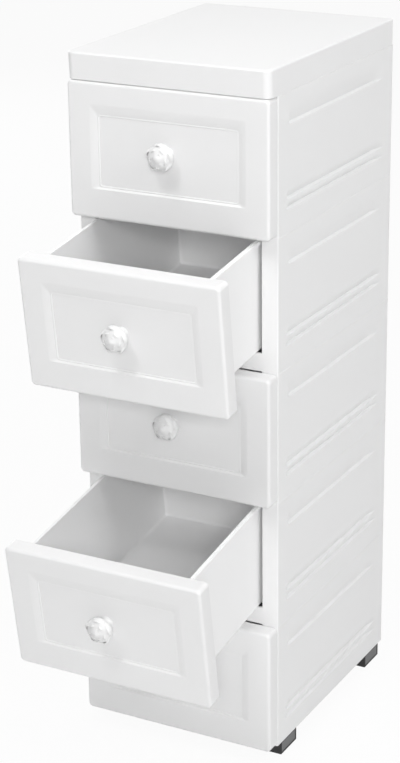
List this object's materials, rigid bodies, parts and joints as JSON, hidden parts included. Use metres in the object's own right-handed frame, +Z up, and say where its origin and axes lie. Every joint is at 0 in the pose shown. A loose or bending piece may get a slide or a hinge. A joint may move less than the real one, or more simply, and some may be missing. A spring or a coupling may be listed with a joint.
{
  "type": "plastic drawer tower",
  "caption": "Tall narrow white plastic chest of stacked pull-out drawers on black corner feet, with moulded panels and flower-shaped knobs, shown with some drawers drawn out.",
  "frame": {"origin": "on the floor, in the middle of the whole outline with the drawers as open as they stand at rest; the tower's own front plane is about 87 mm towards -Y from it", "axes": "+X to the tower's right seen from the front, +Y to its back, +Z up"},
  "size_m": [0.3, 0.6059, 0.997],
  "materials": {
    "white_case_plastic": "satin moulded polypropylene, faint fine texture",
    "white_front_plastic": "smooth satin moulded plastic",
    "white_box_plastic": "smooth thin-walled moulded polypropylene",
    "white_knob_plastic": "glossy moulded plastic",
    "black_foot_rubber": "matt black moulded rubber",
    "grey_roller_plastic": "dark grey acetal",
    "pin_steel": "bright drawn steel",
    "screw_steel": "zinc-plated steel"
  },
  "bodies": {
    "tower": {"top_cover": "white_case_plastic", "right_side_panel_1": "white_case_plastic", "left_side_panel_1": "white_case_plastic", "shelf_board_1": "white_case_plastic", "back_panel_1": "white_case_plastic", "right_side_panel_2": "white_case_plastic", "left_side_panel_2": "white_case_plastic", "shelf_board_2": "white_case_plastic", "back_panel_2": "white_case_plastic", "right_side_panel_3": "white_case_plastic", "left_side_panel_3": "white_case_plastic", "shelf_board_3": "white_case_plastic", "back_panel_3": "white_case_plastic", "right_side_panel_4": "white_case_plastic", "left_side_panel_4": "white_case_plastic", "shelf_board_4": "white_case_plastic", "back_panel_4": "white_case_plastic", "right_side_panel_5": "white_case_plastic", "left_side_panel_5": "white_case_plastic", "shelf_board_5": "white_case_plastic", "back_panel_5": "white_case_plastic", "front_left_foot": "black_foot_rubber", "rear_left_foot": "black_foot_rubber", "front_right_foot": "black_foot_rubber", "rear_right_foot": "black_foot_rubber"},
    "cradle_1": {"roller_pins_1": "pin_steel"},
    "rollers_1": {"sill_rollers_1": "grey_roller_plastic"},
    "drawer_1": {"drawer_front_1": "white_front_plastic", "drawer_box_1": "white_box_plastic", "knob_1": "white_knob_plastic", "knob_screw_1": "screw_steel"},
    "cradle_2": {"roller_pins_2": "pin_steel"},
    "rollers_2": {"sill_rollers_2": "grey_roller_plastic"},
    "drawer_2": {"drawer_front_2": "white_front_plastic", "drawer_box_2": "white_box_plastic", "knob_2": "white_knob_plastic", "knob_screw_2": "screw_steel"},
    "cradle_3": {"roller_pins_3": "pin_steel"},
    "rollers_3": {"sill_rollers_3": "grey_roller_plastic"},
    "drawer_3": {"drawer_front_3": "white_front_plastic", "drawer_box_3": "white_box_plastic", "knob_3": "white_knob_plastic", "knob_screw_3": "screw_steel"},
    "cradle_4": {"roller_pins_4": "pin_steel"},
    "rollers_4": {"sill_rollers_4": "grey_roller_plastic"},
    "drawer_4": {"drawer_front_4": "white_front_plastic", "drawer_box_4": "white_box_plastic", "knob_4": "white_knob_plastic", "knob_screw_4": "screw_steel"},
    "cradle_5": {"roller_pins_5": "pin_steel"},
    "rollers_5": {"sill_rollers_5": "grey_roller_plastic"},
    "drawer_5": {"drawer_front_5": "white_front_plastic", "drawer_box_5": "white_box_plastic", "knob_5": "white_knob_plastic", "knob_screw_5": "screw_steel"}
  },
  "joints": [
    {"name": "drawer_1_droop", "type": "hinge", "parent": "tower", "child": "cradle_1", "pos_m": [0, -0.05328, 0.7949], "axis": [1, 0, 0], "range_deg": [0, 9.24]},
    {"name": "drawer_1_slide", "type": "slide", "parent": "cradle_1", "child": "drawer_1", "axis": [0, -1, 0], "range_m": [0, 0.23]},
    {"name": "rollers_1_spin", "type": "hinge", "parent": "cradle_1", "child": "rollers_1", "pos_m": [0, -0.05328, 0.7949], "axis": [1, 0, 0], "range_deg": [0, 2397]},
    {"name": "drawer_2_droop", "type": "hinge", "parent": "tower", "child": "cradle_2", "pos_m": [0, -0.05328, 0.6071], "axis": [1, 0, 0], "range_deg": [-7.02, 6.55]},
    {"name": "drawer_2_slide", "type": "slide", "parent": "cradle_2", "child": "drawer_2", "axis": [0, -0.9925, -0.1219], "range_m": [-0.119, 0.111]},
    {"name": "rollers_2_spin", "type": "hinge", "parent": "cradle_2", "child": "rollers_2", "pos_m": [0, -0.05328, 0.6071], "axis": [1, 0, 0], "range_deg": [-1240.7, 1157.3]},
    {"name": "drawer_3_droop", "type": "hinge", "parent": "tower", "child": "cradle_3", "pos_m": [0, -0.05328, 0.4193], "axis": [1, 0, 0], "range_deg": [0, 3.23]},
    {"name": "drawer_3_slide", "type": "slide", "parent": "cradle_3", "child": "drawer_3", "axis": [0, -1, 0], "range_m": [0, 0.08]},
    {"name": "rollers_3_spin", "type": "hinge", "parent": "cradle_3", "child": "rollers_3", "pos_m": [0, -0.05328, 0.4193], "axis": [1, 0, 0], "range_deg": [0, 834.4]},
    {"name": "drawer_4_droop", "type": "hinge", "parent": "tower", "child": "cradle_4", "pos_m": [0, -0.05328, 0.2315], "axis": [1, 0, 0], "range_deg": [-8.52, 2.53]},
    {"name": "drawer_4_slide", "type": "slide", "parent": "cradle_4", "child": "drawer_4", "axis": [0, -0.989, -0.1478], "range_m": [-0.1775, 0.0525]},
    {"name": "rollers_4_spin", "type": "hinge", "parent": "cradle_4", "child": "rollers_4", "pos_m": [0, -0.05328, 0.2315], "axis": [1, 0, 0], "range_deg": [-1850.1, 547.9]},
    {"name": "drawer_5_droop", "type": "hinge", "parent": "tower", "child": "cradle_5", "pos_m": [0, -0.05328, 0.0437], "axis": [1, 0, 0], "range_deg": [0, 5.23]},
    {"name": "drawer_5_slide", "type": "slide", "parent": "cradle_5", "child": "drawer_5", "axis": [0, -1, 0], "range_m": [0, 0.13]},
    {"name": "rollers_5_spin", "type": "hinge", "parent": "cradle_5", "child": "rollers_5", "pos_m": [0, -0.05328, 0.0437], "axis": [1, 0, 0], "range_deg": [0, 1355.3]}
  ],
  "couplings": [
    {"joint": "drawer_1_droop", "follows": "drawer_1_slide", "rad_per_m": 0.7},
    {"joint": "rollers_1_spin", "follows": "drawer_1_slide", "rad_per_m": 181.82},
    {"joint": "drawer_2_droop", "follows": "drawer_2_slide", "rad_per_m": 1.0267},
    {"joint": "rollers_2_spin", "follows": "drawer_2_slide", "rad_per_m": 181.82},
    {"joint": "drawer_3_droop", "follows": "drawer_3_slide", "rad_per_m": 0.7},
    {"joint": "rollers_3_spin", "follows": "drawer_3_slide", "rad_per_m": 181.82},
    {"joint": "drawer_4_droop", "follows": "drawer_4_slide", "rad_per_m": 0.8358},
    {"joint": "rollers_4_spin", "follows": "drawer_4_slide", "rad_per_m": 181.82},
    {"joint": "drawer_5_droop", "follows": "drawer_5_slide", "rad_per_m": 0.7},
    {"joint": "rollers_5_spin", "follows": "drawer_5_slide", "rad_per_m": 181.82}
  ]
}
